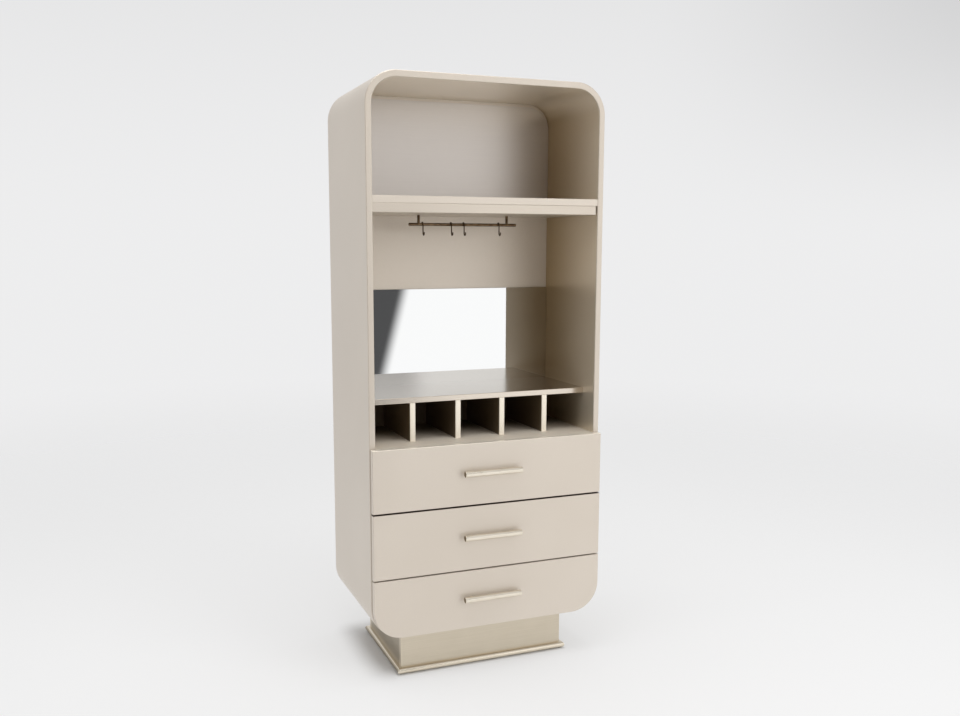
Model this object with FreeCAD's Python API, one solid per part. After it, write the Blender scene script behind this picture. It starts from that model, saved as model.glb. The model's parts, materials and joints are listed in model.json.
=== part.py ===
"""Coffee bar cabinet: a round-cornered casing with an open top, a bar with a mirror, cubbies and drawers.

Millimetres. +Z is up, +X is to the right seen from the front, +Y runs to the back. The origin lies on the
floor, under the middle of the whole cabinet's box, drawer handles included.
"""
import FreeCAD, Part
import math
import os

Vec = FreeCAD.Vector
ALONG_X = Vec(1, 0, 0)
ALONG_Y = Vec(0, 1, 0)
ALONG_Z = Vec(0, 0, 1)
same_place = 1e-6

# Casing
casing_width = 800
casing_depth = 460
casing_bottom = 150
casing_top = 1900
wall = 20
corner_radius = 100
casing_arris = 3

# Back of the casing, set in to leave room for cables behind it
back_recess = 76
back_thickness = 16
back_clearance = 0.4
liner_thickness = 4
liner_top_gap = 10
mirror_thickness = 5
mirror_height = 330

# Shelf in two layers, of which the lower one stops short of the right side
shelf_top = 1536
shelf_board = 22
shelf_setback = 2
underboard_thickness = 28
underboard_end_gap = 6
board_arris = 1.5

# Bar, cubbies and the deck over the drawers
bar_height = 908
bar_thickness = 18
bar_setback = 75
divider_count = 4
divider_thickness = 18
deck_top = 765
deck_thickness = 20

# Drawer fronts
front_thickness = 20
front_side_inset = 3
front_bottom_inset = 3
front_arris = 2
front_stand_off = 3
front_joint = 4
upper_joint_height = 562
lower_joint_height = 348

# Drawer boxes
box_depth = 352
box_side = 14
box_bottom = 8
box_lift = 22
box_deck_clearance = 8.5
box_corner_clearance = 6

# Drawer runners
runner_space = 12.7
runner_height = 45
runner_length = 350
runner_setback = 10
runner_lift = 64
runner_sheet = 1.2
runner_ball_gap = 0.6
runner_corner_clearance = 3.5

# Drawer handles
handle_length = 198
handle_diameter = 19
handle_reach = 18
handle_rise = 6
handle_end_arris = 1
handle_post_diameter = 10
handle_post_inset = 24
handle_screw_diameter = 4
handle_screw_head_diameter = 9
handle_screw_head = 3
handle_screw_grip = 12

# Hanging rail and its hooks, whose places are measured from the middle of the rail
rail_diameter = 10
rail_length = 384
rail_depth = 228
rail_drop = 30
rail_post_diameter = 9
rail_post_spacing = 316
hook_wire = 3
hook_clearance = 0.3
hook_drop = 29
hook_curl_radius = 6
hook_tip = 4
hook_back_angle = 30
hook_places = (-145, -45, 0, 127)

# Plinth and base plate
base_side_inset = 97
base_end_inset = 34
base_thickness = 20
base_round = 9.5
base_overhang = 14
plinth_board = 18
glide_height = 2
glide_diameter = 30
glide_inset = 20

# Fasteners
dowel_diameter = 8
dowel_length = 40
dowel_inset = 60
board_dowel_length = 30
board_dowel_in_wall = 10
dowel_clearance = 0.1
screw_diameter = 4
screw_length = 45
screw_head_diameter = 8
screw_head = 3
screw_inset = 90
screws_per_board = 4

# Places worked out from the sizes above
front_reach = front_stand_off + front_thickness + handle_reach + handle_diameter / 2
casing_front = (front_reach - casing_depth) / 2
casing_rear = casing_front + casing_depth
half_width = casing_width / 2
inner_half = half_width - wall
inner_radius = corner_radius - wall
corner_x = half_width - corner_radius
corner_low = casing_bottom + corner_radius
corner_high = casing_top - corner_radius
back_face = casing_rear - back_recess - back_thickness
shelf_underside = shelf_top - shelf_board - underboard_thickness
bar_front = casing_front + bar_setback
bar_underside = bar_height - bar_thickness
front_back_face = casing_front - front_stand_off
front_face = front_back_face - front_thickness
box_half = inner_half - runner_space
box_rear = front_back_face + box_depth
rail_y = casing_front + rail_depth
rail_z = shelf_underside - rail_drop
base_front = casing_front + base_end_inset
base_rear = casing_rear - base_end_inset
base_half = half_width - base_side_inset
base_top = glide_height + base_thickness

os.makedirs("parts", exist_ok=True)


def save(name, *solids):
    """Write one node: a single solid, or a group of separate solids."""
    shape = solids[0] if len(solids) == 1 else Part.makeCompound(list(solids))
    shape.exportStep(f"parts/{name}.step")


def block(x, y, z):
    """Box between two limits on each axis."""
    size = [limits[1] - limits[0] for limits in (x, y, z)]
    return Part.makeBox(*size, Vec(x[0], y[0], z[0]))


def rod(diameter, start, direction, length):
    return Part.makeCylinder(diameter / 2, length, start, direction)


def rounded_face(place, a, b, radii):
    """Rectangle with a radius at each corner, from its low corner round; place puts its points in space."""
    corners = ((a[0], b[0], 1, 1), (a[1], b[0], -1, 1), (a[1], b[1], -1, -1), (a[0], b[1], 1, -1))
    stops = []
    edges = []
    for turn, ((ca, cb, to_a, to_b), radius) in enumerate(zip(corners, radii)):
        along_a = place(ca + radius * to_a, cb)
        along_b = place(ca, cb + radius * to_b)
        stops.append((along_b, along_a) if turn % 2 == 0 else (along_a, along_b))
        if radius:
            inset = radius * (1 - math.sqrt(0.5))
            middle = place(ca + inset * to_a, cb + inset * to_b)
            edges.append(Part.Arc(stops[-1][0], middle, stops[-1][1]).toShape())
    for here, after in zip(stops, stops[1:] + stops[:1]):
        edges.append(Part.LineSegment(here[1], after[0]).toShape())
    return Part.Face(Part.Wire(Part.__sortEdges__(edges)))


def eased(shape, radius, y, along=None):
    """Round the edges that lie in the plane at y, or only those of them that run one way."""
    edges = []
    for edge in shape.Edges:
        ends = [vertex.Point for vertex in edge.Vertexes]
        middle = edge.valueAt((edge.FirstParameter + edge.LastParameter) / 2)
        in_plane = all(abs(point.y - y) < same_place for point in ends + [middle])
        if in_plane and (along is None or (ends[1] - ends[0]).cross(along).Length < same_place):
            edges.append(edge)
    return shape.makeFillet(radius, edges)


def drilled(shape, holes):
    return shape.cut(Part.makeCompound(holes))


def across(middle, spacing, count):
    """Evenly spaced places about a middle."""
    return [middle + spacing * (i - (count - 1) / 2) for i in range(count)]


# Fasteners and their holes
dowel_rows = (casing_front + dowel_inset, casing_front + casing_depth / 2, casing_rear - dowel_inset)
casing_dowels, casing_holes = [], []
for side in (-1, 1):
    wall_middle = side * (half_width - wall / 2)
    joints = [(Vec(wall_middle, 0, z), ALONG_Z) for z in (corner_low, corner_high)]
    flat_heights = (casing_bottom + wall / 2, casing_top - wall / 2)
    joints += [(Vec(side * corner_x, 0, z), ALONG_X) for z in flat_heights]
    for joint, along in joints:
        for y in dowel_rows:
            middle = joint + ALONG_Y * y
            start = middle - along * (dowel_length / 2)
            casing_dowels.append(rod(dowel_diameter, start, along, dowel_length))
            deep = dowel_length + 2 * dowel_clearance
            start = middle - along * (deep / 2)
            casing_holes.append(rod(dowel_diameter + 2 * dowel_clearance, start, along, deep))

# Each fixed board: its middle height and its front edge
fixed_boards = (
    (shelf_top - shelf_board / 2, casing_front + shelf_setback),
    (bar_height - bar_thickness / 2, bar_front),
    (deck_top - deck_thickness / 2, casing_front),
)
board_dowels, board_holes, back_screws, screw_holes = [], [], [], []
screw_spacing = 2 * (inner_half - screw_inset) / (screws_per_board - 1)
for z, front in fixed_boards:
    for side in (-1, 1):
        outwards = ALONG_X * side
        for y in (front + dowel_inset, back_face - dowel_inset):
            start = Vec(side * (inner_half + board_dowel_in_wall - board_dowel_length), y, z)
            board_dowels.append(rod(dowel_diameter, start, outwards, board_dowel_length))
            start -= outwards * dowel_clearance
            deep = board_dowel_length + 2 * dowel_clearance
            board_holes.append(rod(dowel_diameter + 2 * dowel_clearance, start, outwards, deep))
    for x in across(0, screw_spacing, screws_per_board):
        rear = Vec(x, back_face + back_thickness, z)
        shank = rod(screw_diameter, rear, -ALONG_Y, screw_length)
        back_screws.append(shank.fuse(rod(screw_head_diameter, rear, -ALONG_Y, screw_head)).removeSplitter())
        room = 2 * dowel_clearance
        hole = rod(screw_diameter + room, rear, -ALONG_Y, screw_length + dowel_clearance)
        head_hole = rod(screw_head_diameter + room, rear, -ALONG_Y, screw_head + dowel_clearance)
        screw_holes.append(hole.fuse(head_hole))

save("casing_dowels", *casing_dowels)
save("board_dowels", *board_dowels)
save("back_panel_screws", *back_screws)

# Casing: flat boards, and corner pieces that turn the side boards' section through a quarter
wall_radii = (casing_arris,) * 4
depth_limits = (casing_front, casing_rear)
for side, name in ((-1, "left"), (1, "right")):
    x_limits = sorted((side * half_width, side * inner_half))
    section = rounded_face(lambda a, b: Vec(a, b, corner_low), x_limits, depth_limits, wall_radii)
    straight = ALONG_Z * (corner_high - corner_low)
    save(f"{name}_side_panel", drilled(section.extrude(straight), casing_holes + board_holes))
    centre = Vec(side * corner_x, 0, corner_low)
    bottom_corner = section.revolve(centre, ALONG_Y, side * 90)
    save(f"corner_bottom_{name}", drilled(bottom_corner, casing_holes))
    top_corner = section.translated(straight).revolve(centre + straight, ALONG_Y, -side * 90)
    save(f"corner_top_{name}", drilled(top_corner, casing_holes))

for name, z in (("bottom_panel", casing_bottom), ("top_panel", casing_top - wall)):
    section = rounded_face(lambda a, b: Vec(-corner_x, b, a), (z, z + wall), depth_limits, wall_radii)
    save(name, drilled(section.extrude(ALONG_X * 2 * corner_x), casing_holes))

# Back panel, grey liner of the top compartment and the mirror on the bar
back_half = inner_half - back_clearance
back_top = casing_top - wall - back_clearance
back_radius = inner_radius - back_clearance
back_bottom = casing_bottom + wall + back_clearance


def back_outline(bottom, top, low_radius):
    """Face against the back of the compartments, with the casing's round corners at its top."""
    radii = (low_radius, low_radius, back_radius, back_radius)
    return rounded_face(lambda a, b: Vec(a, back_face, b), (-back_half, back_half), (bottom, top), radii)


back = back_outline(back_bottom, back_top, back_radius).extrude(ALONG_Y * back_thickness)
save("back_panel", drilled(back, screw_holes))
liner = back_outline(shelf_top, back_top - liner_top_gap, 0)
save("upper_back_liner", liner.extrude(-ALONG_Y * liner_thickness))

mirror_limits = (bar_height, bar_height + mirror_height)
save("mirror", block((-back_half, back_half), (back_face - mirror_thickness, back_face), mirror_limits))

# Shelf: full-width board over a board that carries the rail
shelf_front = casing_front + shelf_setback
board_width = (-inner_half, inner_half)
shelf = block(board_width, (shelf_front, back_face), (shelf_top - shelf_board, shelf_top))
shelf = eased(shelf, board_arris, shelf_front, ALONG_X)
save("upper_shelf", drilled(shelf, board_holes + screw_holes))

under_width = (-inner_half, inner_half - underboard_end_gap)
under_limits = (shelf_underside, shelf_top - shelf_board)
underboard = block(under_width, (shelf_front, back_face), under_limits)
save("shelf_underboard", eased(underboard, board_arris, shelf_front, ALONG_X))

# Bar top, the dividers of the cubbies and the deck under them
bar = block(board_width, (bar_front, back_face), (bar_underside, bar_height))
save("bar_top", drilled(eased(bar, board_arris, bar_front, ALONG_X), board_holes + screw_holes))

cubby_width = (2 * inner_half - divider_count * divider_thickness) / (divider_count + 1)
for i, x in enumerate(across(0, cubby_width + divider_thickness, divider_count)):
    x_limits = (x - divider_thickness / 2, x + divider_thickness / 2)
    divider = block(x_limits, (bar_front, back_face), (deck_top, bar_underside))
    save(f"divider_{i + 1}", eased(divider, board_arris, bar_front, ALONG_Z))

deck = block(board_width, (casing_front, back_face), (deck_top - deck_thickness, deck_top))
save("drawer_deck", drilled(deck, board_holes + screw_holes))

# Plinth box on a base plate with a rounded edge, on thin glides
base = block((-base_half, base_half), (base_front, base_rear), (glide_height, base_top))
plate_edges = [edge for edge in base.Edges if abs(edge.Vertexes[0].Z - edge.Vertexes[1].Z) < same_place]
save("base_plate", base.makeFillet(base_round, plate_edges))

glide_x = base_half - glide_inset - glide_diameter / 2
glide_rows = (base_front + glide_inset + glide_diameter / 2, base_rear - glide_inset - glide_diameter / 2)
save("floor_glides", *[rod(glide_diameter, Vec(x, y, 0), ALONG_Z, glide_height)
                       for x in (-glide_x, glide_x) for y in glide_rows])

plinth_half = base_half - base_overhang
plinth_front, plinth_rear = base_front + base_overhang, base_rear - base_overhang
plinth_limits = (base_top, casing_bottom)
front_rows = (plinth_front, plinth_front + plinth_board)
rear_rows = (plinth_rear - plinth_board, plinth_rear)
for name, rows in (("plinth_front", front_rows), ("plinth_rear", rear_rows)):
    board = block((-plinth_half, plinth_half), rows, plinth_limits)
    outer = rows[0] if name == "plinth_front" else rows[1]
    save(name, eased(board, board_arris, outer, ALONG_Z))
for side, name in ((-1, "plinth_left"), (1, "plinth_right")):
    x_limits = sorted((side * plinth_half, side * (plinth_half - plinth_board)))
    save(name, block(x_limits, (front_rows[1], rear_rows[0]), plinth_limits))

# Hanging rail
rail_start = Vec(-rail_length / 2, rail_y, rail_z)
rail = rod(rail_diameter, rail_start, ALONG_X, rail_length)
save("rail_bar", rail.makeFillet(board_arris, [edge for edge in rail.Edges if len(edge.Vertexes) == 1]))
save("rail_posts", *[rod(rail_post_diameter, Vec(x, rail_y, rail_z), ALONG_Z, rail_drop).cut(rail)
                     for x in across(0, rail_post_spacing, 2)])


def hook(x):
    """Wire hook: over the rail from behind, down in front of it, and curled up towards the front."""
    ring = rail_diameter / 2 + hook_clearance + hook_wire / 2
    angle = math.radians(hook_back_angle)
    tip_rear = Vec(x, rail_y + ring * math.cos(angle), rail_z - ring * math.sin(angle))
    over = Vec(x, rail_y, rail_z + ring)
    shank_top = Vec(x, rail_y - ring, rail_z)
    shank_low = shank_top - ALONG_Z * hook_drop
    curl_low = shank_low - ALONG_Y * hook_curl_radius - ALONG_Z * hook_curl_radius
    curl_end = shank_low - ALONG_Y * 2 * hook_curl_radius
    path = Part.Wire([
        Part.Arc(tip_rear, over, shank_top).toShape(),
        Part.LineSegment(shank_top, shank_low).toShape(),
        Part.Arc(shank_low, curl_low, curl_end).toShape(),
        Part.LineSegment(curl_end, curl_end + ALONG_Z * hook_tip).toShape(),
    ])
    start_direction = path.Edges[0].tangentAt(path.Edges[0].FirstParameter)
    section = Part.Wire(Part.makeCircle(hook_wire / 2, tip_rear, start_direction))
    return path.makePipeShell([section], True, False)


for i, x in enumerate(hook_places):
    save(f"hook_{i + 1}", hook(x))


def channel(web_x, tip_x, half_height, z):
    """Runner member: a C section along the depth, its web at one side and its lips towards the other."""
    inwards = 1 if tip_x > web_x else -1
    lip = half_height - runner_sheet
    web_inner = web_x + inwards * runner_sheet
    points = ((web_x, -half_height), (tip_x, -half_height), (tip_x, -lip), (web_inner, -lip),
              (web_inner, lip), (tip_x, lip), (tip_x, half_height), (web_x, half_height))
    y = casing_front + runner_setback
    outline = [Vec(a, y, z + b) for a, b in points]
    return Part.Face(Part.makePolygon(outline + outline[:1])).extrude(ALONG_Y * runner_length)


def runner_pair(web, tip, half_height, z):
    """The same member on both sides; web and tip are distances in from the side boards."""
    return [channel(side * (inner_half - web), side * (inner_half - tip), half_height, z) for side in (-1, 1)]


# Nested runner sections, from the cabinet's member to the drawer's
nest = runner_sheet + runner_ball_gap
cabinet_half = runner_height / 2
middle_half = cabinet_half - nest
drawer_half = middle_half - nest
lip_end = runner_space - nest

low_box_bottom = corner_low - math.sqrt(inner_radius ** 2 - (box_half - corner_x) ** 2) + box_corner_clearance
lowest_runner = corner_low + runner_corner_clearance + runner_height / 2
half_joint = front_joint / 2
low_front_radius = corner_radius - front_side_inset
box_top_drop = deck_thickness + box_deck_clearance
# Each drawer from the top: the limits of its front, the front's lower corner radius and the box's bottom
drawers = (
    (upper_joint_height + half_joint, deck_top, 0, upper_joint_height + half_joint + box_lift),
    (lower_joint_height + half_joint, upper_joint_height - half_joint, 0,
     lower_joint_height + half_joint + box_lift),
    (casing_bottom + front_bottom_inset, lower_joint_height - half_joint, low_front_radius, low_box_bottom),
)
front_half = half_width - front_side_inset
handle_post_x = (handle_length - handle_post_diameter) / 2 - handle_post_inset
cabinet_members = []
for number, (low, high, radius, floor) in enumerate(drawers, 1):
    name = f"drawer_{number}"
    handle_z = (low + high) / 2 + handle_rise

    # Handle: bar, short posts, and screws that reach through the front and the posts into the bar
    bar_middle = Vec(0, front_face - handle_reach, handle_z)
    bar = rod(handle_diameter, bar_middle - ALONG_X * (handle_length / 2), ALONG_X, handle_length)
    grip = bar.makeFillet(handle_end_arris, [edge for edge in bar.Edges if len(edge.Vertexes) == 1])
    posts_and_screws = []
    screw_sockets = []
    for x in (-handle_post_x, handle_post_x):
        foot = Vec(x, front_face, handle_z)
        head = Vec(x, front_back_face, handle_z)
        shank = front_thickness + handle_screw_grip
        socket = rod(handle_screw_diameter + 2 * dowel_clearance, head, -ALONG_Y, shank + dowel_clearance)
        post = rod(handle_post_diameter, foot, -ALONG_Y, handle_reach)
        posts_and_screws.append(post.cut(bar).cut(socket))
        screw_head_solid = rod(handle_screw_head_diameter, head, ALONG_Y, handle_screw_head)
        posts_and_screws.append(rod(handle_screw_diameter, head, -ALONG_Y, shank).fuse(screw_head_solid))
        screw_sockets.append(socket)
    save(f"{name}_handle", drilled(grip, screw_sockets), *posts_and_screws)

    outline = rounded_face(lambda a, b: Vec(a, front_face, b), (-front_half, front_half), (low, high),
                           (radius, radius, 0, 0))
    front = eased(outline.extrude(ALONG_Y * front_thickness), front_arris, front_face)
    save(f"{name}_front", drilled(front, screw_sockets))

    # Box: a bottom board with the sides and the back standing on it
    box_rows = (front_back_face, box_rear)
    save(f"{name}_bottom", block((-box_half, box_half), box_rows, (floor, floor + box_bottom)))
    upright = (floor + box_bottom, high - box_top_drop)
    for side, side_name in ((-1, "left_side"), (1, "right_side")):
        x_limits = sorted((side * box_half, side * (box_half - box_side)))
        save(f"{name}_{side_name}", block(x_limits, box_rows, upright))
    inner_box = box_half - box_side
    save(f"{name}_back", block((-inner_box, inner_box), (box_rear - box_side, box_rear), upright))

    # Runners
    runner_z = max(floor + runner_lift, lowest_runner)
    cabinet_members += runner_pair(0, lip_end, cabinet_half, runner_z)
    save(f"{name}_middle_members", *runner_pair(nest, lip_end, middle_half, runner_z))
    save(f"{name}_runner_members", *runner_pair(runner_space, runner_space - 3 * nest, drawer_half, runner_z))
save("runner_cabinet_members", *cabinet_members)
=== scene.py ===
"""Looks of the coffee bar cabinet: its finishes, its wire hooks, and the studio it stands in.

Metres, in the frame of the solids: +Z is up, +X is to the right seen from the front, +Y runs to the back.
"""

import json
import math

import bmesh
import bpy
from mathutils import Matrix, Vector


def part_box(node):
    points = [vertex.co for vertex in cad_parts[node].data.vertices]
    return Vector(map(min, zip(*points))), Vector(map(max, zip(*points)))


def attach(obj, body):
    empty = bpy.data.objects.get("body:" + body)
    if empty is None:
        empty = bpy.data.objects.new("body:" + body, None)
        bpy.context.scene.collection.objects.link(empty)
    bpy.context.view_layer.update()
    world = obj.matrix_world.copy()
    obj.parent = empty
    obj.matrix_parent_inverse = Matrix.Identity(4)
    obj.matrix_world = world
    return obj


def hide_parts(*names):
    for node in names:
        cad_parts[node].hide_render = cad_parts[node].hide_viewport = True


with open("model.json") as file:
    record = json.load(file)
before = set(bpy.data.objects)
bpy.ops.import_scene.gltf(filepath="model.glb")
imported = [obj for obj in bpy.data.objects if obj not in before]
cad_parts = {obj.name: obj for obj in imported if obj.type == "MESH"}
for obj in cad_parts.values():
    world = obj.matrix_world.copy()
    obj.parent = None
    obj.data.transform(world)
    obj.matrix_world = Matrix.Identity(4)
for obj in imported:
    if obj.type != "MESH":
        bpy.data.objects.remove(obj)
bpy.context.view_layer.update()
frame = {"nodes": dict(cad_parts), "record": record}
scene = bpy.context.scene
slot_of_node = {row["node"]: row["material_slot"] for row in frame["record"]["subparts"]}

# Camera, found by fitting the cabinet's edges to the photograph
camera_place = (-1.1775, -2.9569, 1.3837)
camera_turn = math.radians(21.121)
camera_tilt = math.radians(-8.14)
camera_lens = 35.485
camera_sensor = 36
camera_shift = 0.025

# Places on the cabinet, from the boxes of its pieces
side_low, side_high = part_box("right_side_panel")
casing_front = side_low.y
casing_inner = side_low.x
straight_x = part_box("top_panel")[1].x
straight_low = Vector((-straight_x, 0, side_low.z))
straight_high = Vector((straight_x, 0, side_high.z))
inner_bend = casing_inner - straight_x
back_front, back_rear = (corner.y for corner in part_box("back_panel"))
bar_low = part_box("bar_top")[0]
divider_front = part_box("divider_1")[0].y
upper_front_low, upper_front_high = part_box("drawer_1_front")
middle_front_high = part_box("drawer_2_front")[1]
base_low, base_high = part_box("base_plate")
rail_low, rail_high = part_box("rail_bar")
rail_middle = (rail_low + rail_high) / 2
rail_radius = (rail_high.z - rail_low.z) / 2

# Hooks, of bolder wire than the solids', as the photograph shows them
hook_wire = 0.0038
hook_clearance = 0.0003
hook_drop = 0.029
hook_curl = 0.006
hook_tip = 0.004
hook_back_turn = math.radians(30)
wire_sides = 16
bend_steps = 16

# Finishes: widths of their bands, then shares of metal, roughness and clear coat
edge_width = 0.0025
# Width of the painted shade at the upper drawer joint and of the painted highlight on the upper front's top
# edge
joint_band = 0.0012
# Where the deck's painted shade in the cubbies begins and where it is full
deck_shade_start = 0.03
deck_shade_end = 0.22
# Where the inner side walls' painted brown shade begins, across the casing
side_shade_start = 0.92 * straight_x
lacquer_metal = 0.4
lacquer_rough = 0.42
lacquer_coat = 0.3
coat_rough = 0.3
satin_metal = 0.62
satin_sheen = 0.12
glass_metal = 0.25
glass_rough = 0.24
mirror_rough = 0.015

# Patterns of the finishes: the scale of each, or its scales along X, Y and Z
flake_scale = 1400
cloud_scale = 2.6
peel_scale = 240
handling_scale = 18
haze_scale = 9
veneer_scale = 120
pore_ratio = 9
wear_ratio = 14
bronze_grain = 900
zinc_grain = 420
plastic_grain = 1500
brushed_along_x = (6, 900, 900)
brushed_level = (5, 5, 700)
brushed_level_fine = (5, 5, 1100)
grain_along_depth = (160, 9, 160)
grain_along_width = (9, 160, 160)

# Finish colours, linear
champagne = (0.62, 0.552, 0.472, 1)
champagne_flake = (0.69, 0.622, 0.542, 1)
casing_tone = (0.585, 0.52, 0.44, 1)
casing_flake = (0.65, 0.584, 0.506, 1)
# Painted light: the dividers' paler colours, also used for the painted highlight on the upper front's top
# edge
divider_painted_flake = (0.82, 0.75, 0.63, 1)
pale_painted_light = (0.94, 0.87, 0.75, 1)
# Painted light: the deck's paler colour
deck_painted_light = (0.72, 0.65, 0.54, 1)
# Painted light and shade on the casing's inner faces: pale, and brown towards the back of the side walls
inner_painted_light = (0.92, 0.83, 0.68, 1)
inner_painted_shade = (0.50, 0.385, 0.225, 1)
# Painted shade in the cubbies
cubby_painted_shade = (0.12, 0.085, 0.05, 1)
# Painted shade in the upper drawer joint
joint_painted_shade = (0.06, 0.03, 0.01, 1)
bar_metal = (0.62, 0.57, 0.51, 1)
gold = (0.622, 0.554, 0.448, 1)
gold_dark = (0.568, 0.503, 0.398, 1)
# Painted shade on the plinth's sides and the base plate's ends
gold_painted_shade = (0.42, 0.365, 0.28, 1)
gold_painted_shade_dark = (0.36, 0.31, 0.23, 1)
base_light = (0.82, 0.75, 0.63, 1)
base_dark = (0.72, 0.64, 0.51, 1)
# Painted shade on the handles' ends
handle_end_painted_shade = (0.22, 0.175, 0.10, 1)
brass_light = (0.86, 0.80, 0.70, 1)
brass_dark = (0.72, 0.65, 0.53, 1)
sheet_grey = (0.575, 0.532, 0.496, 1)
sheet_grey_light = (0.605, 0.562, 0.524, 1)
bronze_brown = (0.095, 0.061, 0.035, 1)
bronze_worn = (0.27, 0.19, 0.115, 1)
hook_brown = (0.055, 0.032, 0.013, 1)
hook_worn = (0.13, 0.082, 0.042, 1)
zinc = (0.62, 0.63, 0.64, 1)
zinc_dull = (0.48, 0.49, 0.51, 1)
birch = (0.66, 0.50, 0.33, 1)
birch_grain = (0.50, 0.34, 0.19, 1)
ply_glue = (0.33, 0.21, 0.12, 1)
glass_edge = (0.20, 0.27, 0.25, 1)
silver = (0.68, 0.685, 0.685, 1)
glide_black = (0.018, 0.018, 0.019, 1)
glide_grey = (0.05, 0.05, 0.052, 1)

# Floor: white paper that glows, less so in a rectangle at the base and in a line of contact round it. The
# rectangle is set off to the left and back; where the glow is held back, a painted shadow lies over the
# paper's own shade
floor_radius = 9.0
floor_sides = 96
floor_clear = 0.9
floor_gone = 0.8 * floor_radius
floor_drop = 0.0004
floor_white = (0.80, 0.80, 0.80, 1)
floor_glow_white = (0.95, 0.95, 0.95, 1)
floor_glow = 0.5
floor_light = 1.2
floor_shade = 0.11
shade_past = 0.012
shade_within = 0.07
contact_width = 0.004

# Air round the cabinet: colours, and the spans of a direction's X, Y or Z over which they take over
air_low = (0.85, 0.85, 0.855, 1)
air_high = (0.68, 0.68, 0.685, 1)
air_front = (1.0, 1.0, 1.0, 1)
air_corner = (0.56, 0.56, 0.565, 1)
air_dark = (0.11, 0.065, 0.022, 1)
high_span = (0, 0.6)
front_span = (0.2, -0.8)
corner_span = (0.5, 0.85)
corner_rise = (0, 0.3)
dark_side = (-0.64, -0.768, 0)
dark_span = (0.79, 0.95)

# Card that reflections show: where it stands, and its slanted edge between white and black
card_row = -4.5
card_left = -1.0
card_right = 3.0
card_height = 2.6
card_fade = 0.4
card_white = (1, 1, 1, 1)
card_light = 1.4
card_black = (0.112, 0.112, 0.114, 1)
black_foot = 1.146
black_slant = 0.266
black_height = 1.8
black_fade = 0.35
black_blur = 0.13


class Socket:
    """A node's output. Sums written with it add Math nodes to the same tree."""

    def __init__(self, nodes, socket):
        self.nodes = nodes
        self.socket = socket

    def __add__(self, other):
        return self.nodes.math("ADD", self, other)

    def __sub__(self, other):
        return self.nodes.math("SUBTRACT", self, other)

    def __rsub__(self, other):
        return self.nodes.math("SUBTRACT", other, self)

    def __mul__(self, other):
        return self.nodes.math("MULTIPLY", self, other)

    def __gt__(self, other):
        return self.nodes.math("GREATER_THAN", self, other)

    def __lt__(self, other):
        return self.nodes.math("LESS_THAN", self, other)

    __radd__ = __add__
    __rmul__ = __mul__


class Nodes:
    """A node tree that is being filled, of a material or of the world."""

    def __init__(self, owner):
        owner.use_nodes = True
        self.tree = owner.node_tree
        self.tree.nodes.clear()

    def node(self, kind, inputs=(), output=0, **settings):
        """Add a node: its settings first, then the values or links of its sockets."""
        made = self.tree.nodes.new(kind)
        for name, value in settings.items():
            setattr(made, name, value)
        named = inputs.items() if isinstance(inputs, dict) else enumerate(inputs)
        for name, value in named:
            if isinstance(value, Socket):
                self.tree.links.new(value.socket, made.inputs[name])
            else:
                made.inputs[name].default_value = value
        return Socket(self, made.outputs[output])

    def math(self, operation, *values):
        return self.node("ShaderNodeMath", values, operation=operation)

    def mix(self, share, first, second):
        """Colour between two colours."""
        return self.node("ShaderNodeMix", {0: share, 6: first, 7: second}, output=2, data_type="RGBA")

    def ramp(self, value, start, end):
        """0 at the start and before it, 1 at the end and past it, and smooth between."""
        inputs = {"Value": value, "From Min": start, "From Max": end}
        return self.node("ShaderNodeMapRange", inputs, interpolation_type="SMOOTHSTEP")

    def place(self, output="Object", scale=(1, 1, 1)):
        """The piece's own coordinates, or another output of their node, scaled for each axis."""
        spot = self.node("ShaderNodeTexCoord", output=output)
        if scale == (1, 1, 1):
            return spot
        return self.node("ShaderNodeMapping", {"Vector": spot, "Scale": scale})

    def axis(self, vector, name):
        return self.node("ShaderNodeSeparateXYZ", [vector], output=name)

    def turned(self, name):
        """How squarely a face looks along an axis, one way or the other."""
        return self.math("ABSOLUTE", self.axis(self.place("Normal"), name))

    def noise(self, vector, scale, detail=2, roughness=0.5, distortion=0):
        inputs = {"Vector": vector, "Scale": scale, "Detail": detail, "Roughness": roughness,
                  "Distortion": distortion}
        return self.node("ShaderNodeTexNoise", inputs)

    def bump(self, height, strength, distance):
        inputs = {"Height": height, "Strength": strength, "Distance": distance}
        return self.node("ShaderNodeBump", inputs, output="Normal")

    def outside(self, spot, axes, low, high):
        """Distance from a rectangle on two axes, which two of its corners give."""
        sides = []
        for name in axes:
            index = "XYZ".index(name)
            middle = (low[index] + high[index]) / 2
            half = (high[index] - low[index]) / 2
            past = self.math("ABSOLUTE", self.axis(spot, name) - middle) - half
            sides.append(self.math("MAXIMUM", past, 0))
        return self.math("SQRT", sum(side * side for side in sides))

    def inside_casing(self, spot):
        """1 on the casing's inner faces as far as the back panel, 0 on its outer faces and its front edge."""
        from_bend = self.outside(spot, "XZ", straight_low, straight_high)
        depth = self.axis(spot, "Y")
        behind_edge = depth > casing_front + edge_width
        return (from_bend < inner_bend + edge_width) * behind_edge * (depth < back_rear)

    def unseen(self):
        """0 for what the camera sees straight on, 1 for what only lights or shows in other surfaces."""
        return 1 - self.node("ShaderNodeLightPath", output="Is Camera Ray")

    def surface(self, **inputs):
        """The material's shader; names of its sockets have _ for a space."""
        named = {name.replace("_", " "): value for name, value in inputs.items()}
        return self.node("ShaderNodeBsdfPrincipled", named)

    def blend(self, share, first, second):
        """Shader between two shaders."""
        return self.node("ShaderNodeMixShader", [share, first, second])

    def output(self, shader, kind="ShaderNodeOutputMaterial"):
        made = self.tree.nodes.new(kind)
        self.tree.links.new(shader.socket, made.inputs["Surface"])


def new_finish(name):
    material = bpy.data.materials.new(name)
    return material, Nodes(material)


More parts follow.
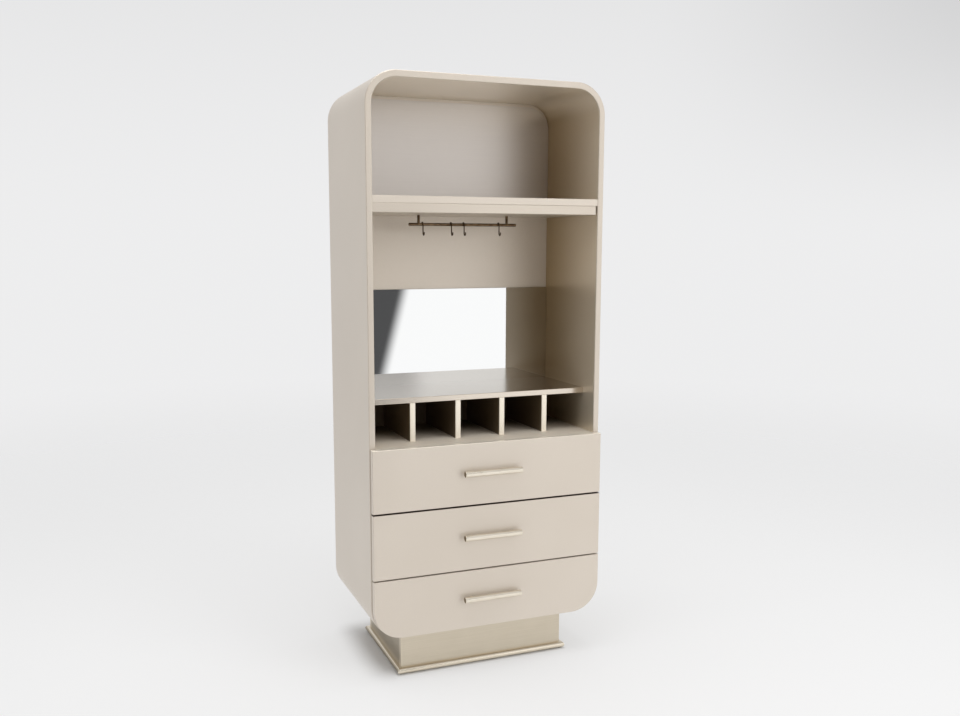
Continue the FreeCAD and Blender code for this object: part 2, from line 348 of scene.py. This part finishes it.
def metallic_lacquer(name, metal=lacquer_metal, rough=lacquer_rough, coat=lacquer_coat,
                     colours=(champagne, champagne_flake), shade_and_tone_bands=(), band_shade_and_tone=cubby_painted_shade,
                     casing=False, highlight_above=None):
    """Sprayed metallic lacquer: fine flakes, slight clouding from the gun and orange peel in the clear coat.

    Each entry of the bands is an axis and the two places on it between which the band's colour takes over:
    painted shade in the cubbies and at the upper drawer joint, the top's own metal tone on the bar top. The
    casing's inner faces are satin metal painted pale, painted light, and their side walls are painted brown
    towards the back, painted shade. An edge that lies higher than the height given for it is painted paler, a
    painted highlight.
    """
    material, nodes = new_finish(name)
    spot = nodes.place()
    flakes = nodes.noise(spot, flake_scale, detail=1, roughness=0.6)
    cloud = nodes.noise(spot, cloud_scale, detail=3, roughness=0.45)
    peel = nodes.noise(spot, peel_scale)
    colour = nodes.mix(nodes.ramp(flakes * 0.7 + cloud * 0.3, start=0.38, end=0.66), *colours)
    rough = rough - 0.03 + cloud * 0.06 + flakes * 0.05
    # Bands: painted shade in the cubbies and at the upper drawer joint, the top's own metal tone on the bar
    # top
    if shade_and_tone_bands:
        share = math.prod(nodes.ramp(nodes.axis(spot, axis), start, end) for axis, start, end in shade_and_tone_bands)
        colour = nodes.mix(share, colour, band_shade_and_tone)
        coat = coat - share * coat if coat else 0
    # Painted highlight: paler above the given height
    if highlight_above:
        colour = nodes.mix(nodes.axis(spot, "Z") > highlight_above, colour, pale_painted_light)
    # Painted light and shade inside the casing: pale inner faces, brown towards the back of the side walls
    if casing:
        inside = nodes.inside_casing(spot)
        depth = nodes.ramp(nodes.axis(spot, "Y"), casing_front, back_front)
        aside = nodes.ramp(nodes.math("ABSOLUTE", nodes.axis(spot, "X")), side_shade_start, casing_inner)
        colour = nodes.mix(inside, colour, nodes.mix(depth * aside, inner_painted_light, inner_painted_shade))
        metal = metal + inside * (satin_metal - metal)
        rough = rough - inside * satin_sheen
    nodes.output(nodes.surface(
        Base_Color=colour,
        Metallic=metal,
        Roughness=rough,
        Coat_Weight=coat,
        Coat_Roughness=coat_rough,
        Normal=nodes.bump(peel + flakes * 0.3, strength=0.05, distance=0.0006),
    ))
    return material


def brushed_metal(name, dark, light, grain, rough, depth, metal=1.0, ends=None):
    """Metal or metallic coat with fine brush lines; grain stretches the lines along an axis.

    Faces that look along X get the colour of ends, if there is one: painted shade on the handles' and the
    base plate's ends.
    """
    material, nodes = new_finish(name)
    lines = nodes.noise(nodes.place(scale=grain), scale=1, detail=3, roughness=0.6)
    handled = nodes.noise(nodes.place(), handling_scale, detail=3)
    colour = nodes.mix(nodes.ramp(lines * 0.75 + handled * 0.25, start=0.3, end=0.7), dark, light)
    if ends:
        colour = nodes.mix(nodes.ramp(nodes.turned("X"), start=0.6, end=0.8), colour, ends)
    nodes.output(nodes.surface(
        Base_Color=colour,
        Metallic=metal,
        Roughness=rough - 0.06 + lines * 0.08 + handled * 0.05,
        Normal=nodes.bump(lines, strength=depth, distance=0.0002),
    ))
    return material


def mirror_glass():
    """Silvered sheet: the front reflects, the edges show the tint of the glass."""
    material, nodes = new_finish("mirror_glass")
    facing = nodes.axis(nodes.place("Normal"), "Y") < -0.5
    haze = nodes.noise(nodes.place(), haze_scale, detail=3)
    nodes.output(nodes.surface(
        Base_Color=nodes.mix(facing, glass_edge, silver),
        Metallic=glass_metal + facing * (1 - glass_metal),
        Roughness=glass_rough - facing * (glass_rough - mirror_rough) + haze * 0.012,
    ))
    return material


def birch_board(name, grain, face):
    """Birch ply: grain along one axis on the faces, and the veneers' lines on the cut edges."""
    material, nodes = new_finish(name)
    figure = nodes.noise(nodes.place(scale=grain), scale=1, detail=4, roughness=0.62, distortion=0.6)
    pores = nodes.noise(nodes.place(scale=tuple(pore_ratio * size for size in grain)), scale=1)
    wave = {"Vector": nodes.place(), "Scale": veneer_scale, "Distortion": 0.4, "Detail": 1}
    veneers = nodes.node("ShaderNodeTexWave", wave, output=1, bands_direction=face)
    edge = 1 - nodes.ramp(nodes.turned(face), start=0.4, end=0.6)
    wood = nodes.mix(nodes.ramp(figure * 0.7 + pores * 0.3, start=0.34, end=0.7), birch, birch_grain)
    cut = nodes.mix(nodes.ramp(veneers, start=0.3, end=0.8), birch, ply_glue)
    nodes.output(nodes.surface(
        Base_Color=nodes.mix(edge, wood, cut),
        Roughness=0.5 + figure * 0.14 + edge * 0.08,
        Normal=nodes.bump(figure * 0.4 + pores, strength=0.18, distance=0.0003),
    ))
    return material


def speckled(name, dark, light, grain, metal, rough, depth):
    """Matt or cast-looking finish with a fine irregular surface."""
    material, nodes = new_finish(name)
    fine = nodes.noise(nodes.place(), grain, detail=3, roughness=0.6)
    wear = nodes.noise(nodes.place(), grain / wear_ratio, detail=3)
    nodes.output(nodes.surface(
        Base_Color=nodes.mix(nodes.ramp(fine * 0.45 + wear * 0.55, start=0.42, end=0.68), dark, light),
        Metallic=metal,
        Roughness=rough - 0.08 + fine * 0.1 + wear * 0.08,
        Normal=nodes.bump(fine, strength=depth, distance=0.0003),
    ))
    return material


def behind_edge(front):
    """Band that starts just behind a board's front edge: painted shade in the cubbies behind the dividers'
    edges, the bar top's own metal tone behind its edge.
    """
    return "Y", front + edge_width, front + 2 * edge_width


# Finish of each material slot
finishes = {
    "lacquer": metallic_lacquer("champagne_lacquer"),
    "gold_lacquer": brushed_metal("gold_lacquer", gold_dark, gold, brushed_level, rough=0.3, depth=0.05),
    "grey_sheet": brushed_metal("grey_sheet", sheet_grey, sheet_grey_light, brushed_level_fine,
                                rough=0.36, depth=0.03, metal=0.8),
    "mirror_glass": mirror_glass(),
    # Handles: their ends are painted darker, painted shade
    "gold_metal": brushed_metal("gold_metal", brass_dark, brass_light, brushed_along_x,
                                rough=0.28, depth=0.02, ends=handle_end_painted_shade),
    "bronze": speckled("bronze", bronze_brown, bronze_worn, bronze_grain, metal=1.0, rough=0.3, depth=0.05),
    "runner_steel": speckled("runner_steel", zinc_dull, zinc, zinc_grain, metal=0.9, rough=0.34, depth=0.06),
    "raw_wood": birch_board("birch_along_depth", grain_along_depth, "X"),
    "glide_plastic": speckled("glide_plastic", glide_black, glide_grey, plastic_grain,
                              metal=0.0, rough=0.7, depth=0.3),
}

# Finishes of single pieces, in place of their slot's
casing_lacquer = metallic_lacquer("casing_lacquer", colours=(casing_tone, casing_flake), casing=True)
# Dividers: painted paler than the other lacquer, painted light, and painted dark behind their front edges,
# painted shade in the cubbies
divider_lacquer = metallic_lacquer("divider_lacquer", metal=0.2, colours=(pale_painted_light, divider_painted_flake),
                                   shade_and_tone_bands=[behind_edge(divider_front)])
# Plinth sides: painted darker gold, painted shade
gold_sides_painted_shade = brushed_metal("gold_sides_painted_shade", gold_painted_shade_dark, gold_painted_shade, brushed_level, rough=0.3, depth=0.05)
birch_along_width = birch_board("birch_along_width", grain_along_width, "Y")
birch_bottom = birch_board("birch_bottom", grain_along_width, "Z")
hook_bronze = speckled("hook_bronze", hook_brown, hook_worn, bronze_grain, metal=1.0, rough=0.45, depth=0.08)
own_finish = {
    "top_panel": casing_lacquer,
    "bottom_panel": casing_lacquer,
    "shelf_underboard": metallic_lacquer("satin_lacquer", satin_metal, lacquer_rough - satin_sheen, coat=0,
                                         colours=(casing_tone, casing_flake)),
    "bar_top": metallic_lacquer("bar_lacquer", metal=1.0, rough=0.2, coat=0, shade_and_tone_bands=[behind_edge(bar_low.y)],
                                band_shade_and_tone=bar_metal),
    # Deck: painted paler, painted light, and painted dark towards the back, painted shade in the cubbies
    "drawer_deck": metallic_lacquer("deck_lacquer", metal=0.1, rough=0.6, coat=0,
                                    colours=(deck_painted_light, champagne),
                                    shade_and_tone_bands=[("Y", divider_front + deck_shade_start,
                                              divider_front + deck_shade_end)]),
    # Back panel: painted dark on its front face below the bar top, painted shade in the cubbies
    "back_panel": metallic_lacquer("back_lacquer",
                                   shade_and_tone_bands=[("Z", bar_low.z, bar_low.z - edge_width),
                                            ("Y", back_front + 2 * edge_width, back_front + edge_width)]),
    # Base plate: faces that look along X are painted darker, painted shade
    "base_plate": brushed_metal("base_metal", base_dark, base_light, brushed_along_x,
                                rough=0.22, depth=0.02, ends=gold_painted_shade_dark),
    "plinth_left": gold_sides_painted_shade,
    "plinth_right": gold_sides_painted_shade,
}
for side in ("left", "right"):
    for piece in (f"{side}_side_panel", f"corner_top_{side}", f"corner_bottom_{side}"):
        own_finish[piece] = casing_lacquer
for divider in ("divider_1", "divider_2", "divider_3", "divider_4"):
    own_finish[divider] = divider_lacquer
for drawer in ("drawer_1", "drawer_2", "drawer_3"):
    own_finish[f"{drawer}_back"] = birch_along_width
    own_finish[f"{drawer}_bottom"] = birch_bottom

# The upper drawer joint is the darker one: its two edges are painted dark, painted shade in the gap. The
# upper front's top edge is painted paler, a painted highlight
joint_shade_above = ("Z", upper_front_low.z + joint_band, upper_front_low.z + joint_band / 2)
joint_shade_below = ("Z", middle_front_high.z - joint_band, middle_front_high.z - joint_band / 2)
own_finish["drawer_1_front"] = metallic_lacquer("drawer_1_lacquer", shade_and_tone_bands=[joint_shade_above], band_shade_and_tone=joint_painted_shade,
                                                highlight_above=upper_front_high.z - joint_band)
own_finish["drawer_2_front"] = metallic_lacquer("drawer_2_lacquer", shade_and_tone_bands=[joint_shade_below], band_shade_and_tone=joint_painted_shade)

for node, slot in slot_of_node.items():
    for place in frame["nodes"][node].material_slots:
        place.material = own_finish.get(node, finishes[slot])


def link(name, data):
    made = bpy.data.objects.new(name, data)
    scene.collection.objects.link(made)
    return made


def mesh_from(shape, name):
    """Turn a finished bmesh into a mesh."""
    mesh = bpy.data.meshes.new(name)
    shape.to_mesh(mesh)
    shape.free()
    return mesh


def edges_in(geometry):
    return [item for item in geometry if isinstance(item, bmesh.types.BMEdge)]


def bent(shape, edges, centre, turn):
    """Sweep a ring of edges round an axis along X, and give the ring at the end."""
    made = bmesh.ops.spin(shape, geom=edges, cent=centre, axis=(1, 0, 0), angle=turn, steps=bend_steps)
    return edges_in(made["geom_last"])


def drawn(shape, edges, rise):
    """Sweep a ring of edges straight up or down, and give the ring at the end."""
    made = bmesh.ops.extrude_edge_only(shape, edges=edges)["geom"]
    ends = [item for item in made if isinstance(item, bmesh.types.BMVert)]
    bmesh.ops.translate(shape, verts=ends, vec=(0, 0, rise))
    return [edge for edge in edges_in(made) if all(vert in ends for vert in edge.verts)]


def wire_hook(x):
    """Round wire: over the rail from behind, down in front of it, and curled up towards the front."""
    shape = bmesh.new()
    over_rail = Vector((x, rail_middle.y, rail_middle.z))
    shank = over_rail - Vector((0, rail_radius + hook_clearance + hook_wire / 2, 0))
    curl = shank - Vector((0, hook_curl, hook_drop))
    bmesh.ops.create_circle(shape, segments=wire_sides, radius=hook_wire / 2)
    bmesh.ops.translate(shape, verts=shape.verts, vec=shank)
    start = list(shape.edges)
    bent(shape, start, over_rail, -math.pi - hook_back_turn)
    low = drawn(shape, start, -hook_drop)
    drawn(shape, bent(shape, low, curl, -math.pi), hook_tip)
    bmesh.ops.holes_fill(shape, edges=[edge for edge in shape.edges if edge.is_boundary])
    bmesh.ops.recalc_face_normals(shape, faces=shape.faces)
    for face in shape.faces:
        face.smooth = len(face.verts) == 4
    return mesh_from(shape, "wire_hook")


for hook in ("hook_1", "hook_2", "hook_3", "hook_4"):
    low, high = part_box(hook)
    wire = link(f"{hook}_wire", wire_hook((low.x + high.x) / 2))
    wire.data.materials.append(hook_bronze)
    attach(wire, hook)
    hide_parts(hook)

# Floor that fades into the white round it
floor_shape = bmesh.new()
bmesh.ops.create_circle(floor_shape, cap_ends=True, segments=floor_sides, radius=floor_radius)
bmesh.ops.translate(floor_shape, verts=floor_shape.verts, vec=(0, 0, -floor_drop))
floor = link("floor", mesh_from(floor_shape, "floor"))
floor_material, nodes = new_finish("floor")
spot = nodes.place()
distance = nodes.node("ShaderNodeVectorMath", [spot], output="Value", operation="LENGTH")
fade = nodes.ramp(distance, floor_clear, floor_gone)
# Painted shadow: the glow is held back in a rectangle set off to the left and back of the base, and in a thin
# line round the base
shade_low = base_low + Vector((-shade_past, shade_within, 0))
shade_high = base_high + Vector((-shade_within, shade_past, 0))
past_shade = nodes.ramp(nodes.outside(spot, "XY", shade_low, shade_high), 0, floor_shade)
past_contact = nodes.ramp(nodes.outside(spot, "XY", base_low, base_high), 0, contact_width)
strength = 1 + nodes.unseen() * (floor_light - 1)
paper = nodes.node("ShaderNodeBsdfDiffuse", {"Color": floor_white})
glow = nodes.node("ShaderNodeEmission", {"Color": floor_glow_white, "Strength": strength})
lit_paper = nodes.blend(past_shade * past_contact * floor_glow, paper, glow)
nodes.output(nodes.blend(fade, lit_paper, nodes.node("ShaderNodeBsdfTransparent")))
floor.data.materials.append(floor_material)

# Card in front of the cabinet that only reflections show: white, and black past a soft, slanted edge
card_centre = ((card_left + card_right) / 2, card_row, card_height / 2)
card_shape = bmesh.new()
bmesh.ops.create_grid(card_shape, x_segments=1, y_segments=1, size=0.5)
bmesh.ops.scale(card_shape, verts=card_shape.verts, vec=(card_right - card_left, card_height, 1))
bmesh.ops.rotate(card_shape, verts=card_shape.verts, matrix=Matrix.Rotation(math.pi / 2, 3, "X"))
bmesh.ops.translate(card_shape, verts=card_shape.verts, vec=card_centre)
card = link("card", mesh_from(card_shape, "card"))
card_material, nodes = new_finish("card")
spot = nodes.place()
across, height = nodes.axis(spot, "X"), nodes.axis(spot, "Z")
past_edge = nodes.ramp(black_foot + height * black_slant - across, 0, black_blur)
black = past_edge * nodes.ramp(height, black_height, black_height - black_fade)
below_top = nodes.ramp(height, card_height, card_height - card_fade)
there = nodes.ramp(across, card_right, card_right - card_fade) * below_top
white_side = nodes.node("ShaderNodeEmission", {"Color": card_white, "Strength": card_light})
black_side = nodes.node("ShaderNodeEmission", {"Color": card_black})
faded_white = nodes.blend(there, nodes.node("ShaderNodeBsdfTransparent"), white_side)
nodes.output(nodes.blend(black, faded_white, black_side))
card.data.materials.append(card_material)
card.visible_camera = False
card.visible_diffuse = False
card.visible_shadow = False

# World: a pale room that dims upwards and at the upper right, bright in front, and dark at the front left
world = bpy.data.worlds.new("studio_air")
scene.world = world
nodes = Nodes(world)
towards = nodes.place("Generated")
rise = nodes.axis(towards, "Z")
front = nodes.ramp(nodes.axis(towards, "Y"), *front_span)
corner = nodes.ramp(nodes.axis(towards, "X"), *corner_span) * nodes.ramp(rise, *corner_rise)
aside = nodes.node("ShaderNodeVectorMath", [towards, dark_side], output="Value", operation="DOT_PRODUCT")
air = nodes.mix(nodes.ramp(rise, *high_span), nodes.mix(front, air_low, air_front), air_high)
air = nodes.mix(corner, air, air_corner)
air = nodes.mix(nodes.ramp(aside, *dark_span) * nodes.unseen(), air, air_dark)
nodes.output(nodes.node("ShaderNodeBackground", {"Color": air, "Strength": 1}), "ShaderNodeOutputWorld")


def soft_light(name, place, target, width, height, power, reflected):
    """Rectangular soft box that faces a point; reflected says whether shiny surfaces show it."""
    data = bpy.data.lights.new(name, "AREA")
    data.shape = "RECTANGLE"
    data.size = width
    data.size_y = height
    data.energy = power
    lamp = link(name, data)
    lamp.location = place
    lamp.rotation_euler = (Vector(target) - Vector(place)).to_track_quat("-Z", "Y").to_euler()
    lamp.visible_camera = False
    lamp.visible_glossy = reflected


soft_light("key_box", place=(2.0, -3.4, 2.3), target=(0, 0, 1.0), width=2.4, height=2.4, power=49,
           reflected=False)
soft_light("top_box", place=(-0.4, -0.5, 4.2), target=(-0.4, -0.4, 0), width=2.4, height=2.4, power=60,
           reflected=True)
soft_light("low_fill", place=(-0.2, -2.4, 0.15), target=(-0.2, -1.9, 3.0), width=3.2, height=2.2, power=5,
           reflected=False)

# Camera
camera_data = bpy.data.cameras.new("camera")
camera_data.sensor_fit = "HORIZONTAL"
camera_data.sensor_width = camera_sensor
camera_data.lens = camera_lens
camera_data.shift_x = camera_shift
camera_data.shift_y = camera_shift
camera = link("camera", camera_data)
camera.location = camera_place
camera.rotation_euler = (math.pi / 2 + camera_tilt, 0, -camera_turn)
scene.camera = camera
scene.view_settings.view_transform = "Standard"
